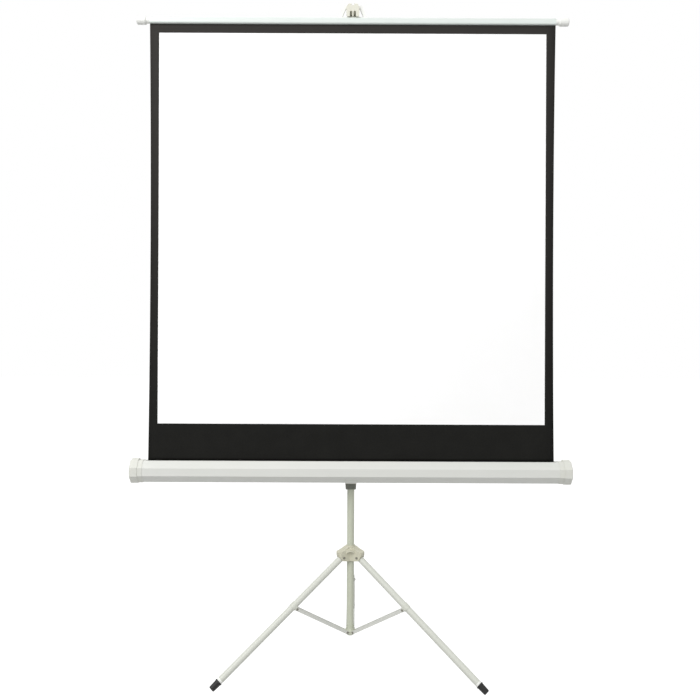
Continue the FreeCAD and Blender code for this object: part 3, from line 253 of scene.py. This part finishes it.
def moulded(name, colour, shade, roughness=0.45):
    """Injection-moulded plastic: a fine spark texture and slight flow marks."""
    finish = Finish(name, colour, roughness)
    finish.mottle(shade, scale=38.0, detail=3.0, low=0.35, high=0.7, share=0.55)
    finish.gloss(scale=110.0, detail=2.0, low=roughness - 0.06, high=roughness + 0.1)
    finish.bump(finish.noise(2600.0, detail=1.0), depth=0.00004, strength=0.6)
    return finish


def strut_steel():
    """Zinc-plated strip."""
    finish = Finish("strut_steel", srgb(202, 203, 197), roughness=0.42, metallic=0.3)
    finish.mottle(srgb(194, 196, 190), scale=40.0, detail=4.0, low=0.35, high=0.7, share=0.6)
    finish.gloss(scale=140.0, detail=3.0, low=0.36, high=0.52)
    finish.bump(finish.noise(900.0, detail=2.0), depth=0.00002, strength=0.4)
    return finish


def slat_paint():
    """Paint on the bar, with faint drawing marks along its length."""
    finish = powder_coat("slat_paint", srgb(220, 227, 223), srgb(215, 223, 218), roughness=0.36)
    finish.bump(finish.noise(260.0, detail=2.0, stretch=(0.02, 1, 1)), depth=0.00008, strength=0.4)
    return finish


def black_rubber():
    finish = moulded("black_rubber", srgb(14, 14, 14), srgb(22, 22, 22), roughness=0.5)
    finish.set(Specular_IOR_Level=0.4)
    return finish


def bright_steel():
    """Plated fasteners and bearings, with darker patches."""
    finish = Finish("bright_steel", srgb(176, 176, 171), roughness=0.28, metallic=1.0)
    finish.mottle(srgb(146, 144, 138), scale=160.0, detail=4.0, low=0.45, high=0.75, share=0.6)
    finish.gloss(scale=300.0, detail=3.0, low=0.18, high=0.4)
    finish.bump(finish.noise(1500.0, detail=2.0), depth=0.00003, strength=0.4)
    return finish


def dull_steel():
    """Dull rivets and pins, rubbed lighter in places."""
    finish = Finish("dull_steel", srgb(118, 116, 106), roughness=0.46, metallic=0.55)
    finish.mottle(srgb(142, 140, 130), scale=420.0, detail=3.0, low=0.45, high=0.7, share=0.7)
    finish.gloss(scale=300.0, detail=3.0, low=0.38, high=0.58)
    return finish


def wound_steel(name, direction, pitch):
    """Spring wire, wound turn against turn along one direction."""
    finish = Finish(name, srgb(150, 151, 150), roughness=0.34, metallic=1.0)
    finish.mottle(srgb(126, 126, 124), scale=200.0, detail=3.0, low=0.4, high=0.7, share=0.5)
    finish.bump(finish.wave(pitch, direction), SPRING_RELIEF)
    return finish


def cloth_white():
    """Matt white coating: a beaded grain over the weave."""
    finish = Finish("screen_cloth", srgb(253, 253, 253), roughness=0.92)
    finish.set(Specular_IOR_Level=0.25, Sheen_Weight=0.08, Sheen_Roughness=0.6)
    finish.mottle(srgb(251, 251, 250), scale=7.0, detail=3.0, low=0.4, high=0.7, share=0.6)
    finish.weave(SCREEN_PITCH, depth=0.00005, strength=0.35)
    finish.bump(finish.noise(2200.0, detail=2.0), depth=0.00004, strength=0.5)
    return finish


def cloth_border():
    """Printed matt black border, with painted light: tinted greyer towards the slat, standing in for light
    from above.
    """
    finish = Finish("screen_border", srgb(20, 20, 18), roughness=0.8)
    finish.set(Specular_IOR_Level=0.12)
    # Painted light: the colour is tinted towards a lighter grey with height, standing in for light falling
    # from above.
    finish.tint(finish.spread(finish.rise(), CASE_TOP + BORDER_BOTTOM, SLAT_LOW.z), srgb(50, 48, 46))
    finish.mottle(srgb(40, 40, 37), scale=14.0, detail=4.0, low=0.4, high=0.7, share=0.12)
    finish.gloss(scale=180.0, detail=3.0, low=0.62, high=0.85)
    finish.weave(SCREEN_PITCH, depth=0.00005, strength=0.45)
    return finish


def cloth_back():
    """Black opaque backing, softer than the border."""
    finish = Finish("screen_backing", srgb(26, 27, 28), roughness=0.88)
    finish.set(Specular_IOR_Level=0.15, Sheen_Weight=0.15, Sheen_Roughness=0.5)
    finish.mottle(srgb(33, 34, 35), scale=6.0, detail=5.0, low=0.4, high=0.7)
    finish.weave(BACKING_PITCH, depth=0.00008, strength=0.6)
    return finish


# One finish for each slot of the record
FINISHES = {finish.name: finish.material for finish in (
    powder_coat("post_paint", srgb(193, 197, 179), srgb(187, 190, 172), roughness=0.38, grain=1800.0),
    powder_coat("leg_paint", srgb(206, 208, 199), srgb(200, 202, 192), roughness=0.38, grain=1800.0),
    strut_steel(),
    powder_coat("case_paint", srgb(213, 214, 209), srgb(208, 210, 204), roughness=0.4),
    slat_paint(),
    moulded("ivory_plastic", srgb(219, 218, 205), srgb(213, 211, 196)),
    moulded("hub_plastic", srgb(200, 198, 179), srgb(189, 186, 163)),
    moulded("cap_plastic", srgb(212, 213, 206), srgb(208, 208, 199), roughness=0.4),
    moulded("white_plastic", srgb(238, 239, 235), srgb(231, 232, 227), roughness=0.38),
    moulded("dark_plastic", srgb(108, 110, 101), srgb(96, 98, 90), roughness=0.5),
    black_rubber(),
    bright_steel(),
    cloth_white(),
)}
CLIP_PLASTIC = moulded("clip_plastic", srgb(205, 207, 197), srgb(199, 201, 190), roughness=0.42).material
DULL_STEEL = dull_steel().material
CLOTH_BORDER = cloth_border().material
CLOTH_BACK = cloth_back().material
# Nodes whose look departs from the rest of their slot, by the ends of their names
OWN_FINISHES = {
    "_strut_clip": CLIP_PLASTIC,
    "_strut_rivets": DULL_STEEL,
    "hub_pins": DULL_STEEL,
    "roller_spring": wound_steel("roller_spring_steel", "X", ROLLER_SPRING_PITCH).material,
    "collar_spring": wound_steel("collar_spring_steel", "Z", COLLAR_SPRING_PITCH).material,
}


def dress_cad_nodes():
    """Gives each CAD node its own finish or that of its slot in the record."""
    slots = {part["node"]: part["material_slot"] for part in frame["record"]["subparts"]}
    for name, obj in nodes.items():
        own = [finish for ending, finish in OWN_FINISHES.items() if name.endswith(ending)]
        obj.data.materials.clear()
        obj.data.materials.append(own[0] if own else FINISHES[slots[name]])


# Mesh helpers

def new_piece(name, body, material, vertices, faces):
    """A smooth-shaded piece that rides on a body."""
    mesh = bpy.data.meshes.new(name)
    mesh.from_pydata([tuple(v) for v in vertices], [], faces)
    mesh.validate()
    mesh.update()
    mesh.materials.append(material)
    for face in mesh.polygons:
        face.use_smooth = True
    piece = bpy.data.objects.new(name, mesh)
    bpy.context.scene.collection.objects.link(piece)
    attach(piece, body)
    return piece


def rim_faces(rim, count):
    """Closes a sheet along its rim, where the second side's vertices come count places later."""
    return [[second, first, count + first, count + second]
            for first, second in zip(rim, rim[1:] + rim[:1])]


def cloth_strip(name, body, material, outer, inner):
    """A closed strip as wide as the sheet, from the (y, z) courses of its two sides."""
    vertices = [(x, y, z) for course in (outer, inner) for y, z in course for x in (-SHEET_HALF, SHEET_HALF)]
    count = 2 * len(outer)
    faces = []
    for corner in range(0, count - 2, 2):
        quad = [corner, corner + 1, corner + 3, corner + 2]
        faces += [quad, [count + index for index in reversed(quad)]]
    rim = [0] + list(range(1, count, 2)) + list(range(count - 2, 0, -2))
    return new_piece(name, body, material, vertices, faces + rim_faces(rim, count))


# Cloth

def cloth_share(height):
    """Where a height lies between the case's top, 0, and the slat, 1."""
    return (height - CASE_TOP) / (SLAT_LOW.z - CASE_TOP)


def cloth_half_width(height):
    """The side edges bow in between the case and the slat."""
    share = min(max(cloth_share(height), 0.0), 1.0)
    return SHEET_HALF - CLOTH_WAIST * 4 * share * (1 - share)


def cloth_wave(x, height):
    """How far the hung cloth stands off its plane: curled edges and faint ripples."""
    share = cloth_share(height)
    if not 0 < share < 1:
        return 0.0
    hold = math.sin(math.pi * share) ** HOLD_POWER
    across = x / cloth_half_width(height)
    curl = CURL_DEPTH * abs(across) ** CURL_POWER
    ripple = (RIPPLE_DEPTH * math.sin(2 * math.pi * x / RIPPLE_LENGTH)
              * math.sin(math.pi * share * RIPPLE_TURNS + RIPPLE_START))
    return hold * (curl + ripple)


def spread_between(stops, counts):
    """Places between the stops, with a count of steps for each stretch."""
    places = [stops[0]]
    for start, end, count in zip(stops, stops[1:], counts):
        places += [start + (end - start) * step / count for step in range(1, count + 1)]
    return places


def make_sheet():
    """The hung cloth: a thin closed sheet with its picture area, border and black back."""
    picture_half = SHEET_HALF - BORDER_SIDE
    picture_low = CASE_TOP + BORDER_BOTTOM
    picture_high = SLAT_LOW.z - BORDER_TOP
    columns = spread_between([-picture_half, picture_half], [CLOTH_COLUMNS])
    rows = spread_between([CASE_TOP - CLOTH_TUCK, picture_low, picture_high, SHEET_HIGH.z],
                          [CLOTH_BAND_ROWS, CLOTH_ROWS, CLOTH_TOP_ROWS])
    across = len(columns) + 2
    vertices = []
    for side in (-1, 1):
        for height in rows:
            edge = cloth_half_width(height)
            for x in [-edge] + columns + [edge]:
                y = CASE.y + side * CLOTH_THICK / 2 + cloth_wave(x, height)
                vertices.append((x, y, height))
    count = len(rows) * across
    white, border, back = 0, 1, 2
    faces = []
    kinds = []
    for row in range(len(rows) - 1):
        middle = (rows[row] + rows[row + 1]) / 2
        for column in range(across - 1):
            corner = row * across + column
            quad = [corner, corner + 1, corner + 1 + across, corner + across]
            printed = column in (0, across - 2) or not picture_low < middle < picture_high
            faces += [quad, [count + index for index in reversed(quad)]]
            kinds += [border if printed else white, back]
    rim = (list(range(across))
           + [row * across + across - 1 for row in range(1, len(rows))]
           + [(len(rows) - 1) * across + column for column in range(across - 2, -1, -1)]
           + [row * across for row in range(len(rows) - 2, 0, -1)])
    faces += rim_faces(rim, count)
    kinds += [border] * len(rim)
    sheet = new_piece("screen_sheet", "case", FINISHES["screen_cloth"], vertices, faces)
    sheet.data.materials.append(CLOTH_BORDER)
    sheet.data.materials.append(CLOTH_BACK)
    for face, kind in zip(sheet.data.polygons, kinds):
        face.material_index = kind
    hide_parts("screen_fabric")
    return sheet


def make_leader():
    """The cloth inside the case, which leaves the roll at a tangent for the slot."""
    top = Vector((0, CASE.y, CASE_TOP - CLOTH_TUCK))
    reach = ROLL_R + CLOTH_THICK / 2
    lean = math.acos(reach / (top.z - CASE.z))
    start = Vector((0, CASE.y - reach * math.sin(lean), CASE.z + reach * math.cos(lean)))
    normal = Vector((0, -math.sin(lean), math.cos(lean))) * CLOTH_THICK / 2
    course = [start.lerp(top, step / LEADER_STEPS) for step in range(LEADER_STEPS + 1)]
    outer, inner = ([(point + normal * side).yz for point in course] for side in (1, -1))
    leader = cloth_strip("screen_leader", "case", CLOTH_BORDER, outer, inner)
    return leader


def make_roll():
    """The turns that stay on the roller, wound as one spiral."""
    turns = (ROLL_R - ROLLER_R) / CLOTH_THICK - 1
    outer, inner = [], []
    for step in range(int(turns * ROLL_STEPS) + 1):
        angle = 2 * math.pi * step / ROLL_STEPS
        for course, layer in ((outer, ROLL_FILL), (inner, 0)):
            radius = ROLLER_R + ROLL_GAP + CLOTH_THICK * (step / ROLL_STEPS + layer)
            course.append((CASE.y + radius * math.sin(angle), CASE.z + radius * math.cos(angle)))
    roll = cloth_strip("wound_cloth", "roller", CLOTH_BACK, outer, inner)
    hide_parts("fabric_roll")
    return roll


def hang_cloth():
    sheet = make_sheet()
    leader = make_leader()
    roll = make_roll()
    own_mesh(sheet)


# Screws

def loose_parts(node):
    """The separate solids of a CAD node, each as its faces' areas, normals and corners."""
    piece = nodes[node]
    place = piece.matrix_world
    turn = place.to_3x3()
    corners = [place @ vertex.co for vertex in piece.data.vertices]
    keys = [tuple(round(value, 6) for value in corner) for corner in corners]
    leader = {key: key for key in keys}

    def find(key):
        while leader[key] != key:
            key = leader[key]
        return key

    for face in piece.data.polygons:
        first = find(keys[face.vertices[0]])
        for index in face.vertices[1:]:
            leader[find(keys[index])] = first
    parts = {}
    for face in piece.data.polygons:
        part = parts.setdefault(find(keys[face.vertices[0]]), [])
        normal = (turn @ face.normal).normalized()
        part.append((face.area, normal, [corners[index] for index in face.vertices]))
    return list(parts.values())


def screw_seat(part, inside):
    """Foot, outward axis, radius and height of a plain round head."""
    def direction(normal):
        return tuple(round(abs(value), 3) for value in normal)

    areas = {}
    for area, normal, _ in part:
        areas[direction(normal)] = areas.get(direction(normal), 0.0) + area
    flat = max(areas, key=areas.get)
    axis = next(normal for _, normal, _ in part if direction(normal) == flat)
    points = [point for _, _, corners in part for point in corners]
    middle = sum(points, Vector()) / len(points)
    if axis.dot(middle - inside) < 0:
        axis = -axis
    along = [axis.dot(point - middle) for point in points]
    radius = max((point - middle - axis * reach).length for point, reach in zip(points, along))
    return middle + axis * min(along), axis, radius, max(along) - min(along)


def recess_share(x, y):
    """1 in the floor of the cross recess and 0 outside it, in shares of the head's radius."""
    def arm(across, out):
        wall = (RECESS_HALF - abs(across)) / RECESS_SLOPE
        end = (RECESS_REACH - abs(out)) / RECESS_SLOPE
        return min(max(min(wall, end), 0.0), 1.0)
    return max(arm(x, y), arm(y, x))


def head_height(share):
    """The head's domed top with its rounded edge, as a share of its height."""
    top = 1 - HEAD_CROWN * share * share
    past = (share - HEAD_FLAT) / (1 - HEAD_FLAT)
    return top if past <= 0 else top * math.sqrt(max(1 - past * past, 0.0))


def add_screw_head(vertices, faces, seat, turned):
    """Rings of vertices from the middle out, closed by a flat underside."""
    foot, axis, radius, height = seat
    side = axis.orthogonal().normalized()
    up = axis.cross(side)
    first = len(vertices)
    for ring in range(HEAD_RINGS + 1):
        share = ring / HEAD_RINGS
        for step in range(HEAD_STEPS if ring else 1):
            angle = 2 * math.pi * step / HEAD_STEPS
            recess = RECESS_DEPTH * recess_share(share * math.cos(angle), share * math.sin(angle))
            rise = height * (head_height(share) - recess)
            around = angle + turned
            vertices.append(foot + side * radius * share * math.cos(around)
                            + up * radius * share * math.sin(around) + axis * rise)

    def corner(ring, step):
        return first if ring == 0 else first + 1 + (ring - 1) * HEAD_STEPS + step % HEAD_STEPS

    for step in range(HEAD_STEPS):
        faces.append([corner(0, 0), corner(1, step), corner(1, step + 1)])
        for ring in range(1, HEAD_RINGS):
            faces.append([corner(ring, step), corner(ring + 1, step),
                          corner(ring + 1, step + 1), corner(ring, step + 1)])
    faces.append([corner(HEAD_RINGS, step) for step in reversed(range(HEAD_STEPS))])


def make_screws(name, node, body, inside):
    """Pan heads with a cross recess, each turned a little further than the one before."""
    vertices = []
    faces = []
    for index, part in enumerate(loose_parts(node)):
        add_screw_head(vertices, faces, screw_seat(part, inside), SCREW_TURN * (index + 1))
    screws = new_piece(name, body, FINISHES["bright_steel"], vertices, faces)
    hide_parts(node)


# Stage, light and camera

def background_ray(tree):
    """1 for rays from the camera, mirrors and glass, which see the plain background."""
    path = add_node(tree, "LightPath")
    total = path.outputs["Is Camera Ray"]
    for name in ("Is Glossy Ray", "Is Transmission Ray"):
        larger = add_node(tree, "Math")
        larger.operation = "MAXIMUM"
        tree.links.new(total, larger.inputs[0])
        tree.links.new(path.outputs[name], larger.inputs[1])
        total = larger.outputs[0]
    return total


def show_and_light(tree, output, seen, lighting):
    """One shader for what is seen, another for the light that falls on the part."""
    choose = add_node(tree, "MixShader")
    tree.links.new(background_ray(tree), choose.inputs[0])
    tree.links.new(lighting.outputs[0], choose.inputs[1])
    tree.links.new(seen.outputs[0], choose.inputs[2])
    tree.links.new(choose.outputs[0], output.inputs["Surface"])


def make_stage():
    """A white floor under a white surround, low enough for the feet of the folded tripod."""
    mesh = bpy.data.meshes.new("floor")
    corners = [(x * FLOOR_REACH, y * FLOOR_REACH, -FLOOR_DROP)
               for x, y in ((-1, -1), (1, -1), (1, 1), (-1, 1))]
    mesh.from_pydata(corners, [], [[0, 1, 2, 3]])
    floor = bpy.data.objects.new("floor", mesh)
    bpy.context.scene.collection.objects.link(floor)
    material = bpy.data.materials.new("floor_white")
    material.use_nodes = True
    tree = material.node_tree
    tree.nodes.clear()
    output = add_node(tree, "OutputMaterial")
    bounce = add_node(tree, "BsdfDiffuse", Color=(FLOOR_BOUNCE, FLOOR_BOUNCE, FLOOR_BOUNCE, 1))
    grey = add_node(tree, "BsdfDiffuse", Color=(FLOOR_SEEN, FLOOR_SEEN, FLOOR_SEEN, 1))
    glow = add_node(tree, "Emission", Strength=FLOOR_GLOW)
    both = add_node(tree, "AddShader")
    tree.links.new(grey.outputs[0], both.inputs[0])
    tree.links.new(glow.outputs[0], both.inputs[1])
    show_and_light(tree, output, both, bounce)
    mesh.materials.append(material)


def make_world():
    """Plain white to the eye; its light is dimmer from the sides, which rounds the tubes."""
    world = bpy.data.worlds.new("surround")
    bpy.context.scene.world = world
    world.use_nodes = True
    tree = world.node_tree
    tree.nodes.clear()
    output = add_node(tree, "OutputWorld")
    seen = add_node(tree, "Background", Strength=1.0, Color=WHITE)
    ambient = add_node(tree, "Background", Color=WHITE)
    way = add_node(tree, "TexCoord")
    parts = add_node(tree, "SeparateXYZ")
    tree.links.new(way.outputs["Generated"], parts.inputs["Vector"])
    sideways = add_node(tree, "Math")
    sideways.operation = "ABSOLUTE"
    tree.links.new(parts.outputs["X"], sideways.inputs[0])
    dimmed = add_node(tree, "MapRange", To_Min=AMBIENT, To_Max=AMBIENT_SIDE)
    tree.links.new(sideways.outputs[0], dimmed.inputs["Value"])
    tree.links.new(dimmed.outputs["Result"], ambient.inputs["Strength"])
    show_and_light(tree, output, seen, ambient)


def make_lamps():
    for name, place, power, width in LAMPS:
        lamp = bpy.data.lights.new(name, "AREA")
        lamp.energy = power
        lamp.size = width
        holder = bpy.data.objects.new(name, lamp)
        bpy.context.scene.collection.objects.link(holder)
        holder.location = place
        aim = Vector(LAMP_TARGET) - Vector(place)
        holder.rotation_euler = aim.to_track_quat("-Z", "Y").to_euler()


def make_camera():
    """Level and square to the screen, with the photograph's slight roll."""
    data = bpy.data.cameras.new("camera")
    data.sensor_width = CAMERA_SENSOR
    data.lens = CAMERA_LENS
    camera = bpy.data.objects.new("camera", data)
    bpy.context.scene.collection.objects.link(camera)
    camera.location = CAMERA_PLACE
    camera.rotation_euler = (math.radians(90), math.radians(CAMERA_ROLL), 0)
    bpy.context.scene.camera = camera
    bpy.context.scene.view_settings.view_transform = "Standard"


dress_cad_nodes()
hang_cloth()
make_screws("bracket_screw_heads", "bracket_screws", "case", CASE)
make_screws("handle_screw_heads", "handle_screws", "top_bar", CASE)
make_stage()
make_world()
make_lamps()
make_camera()
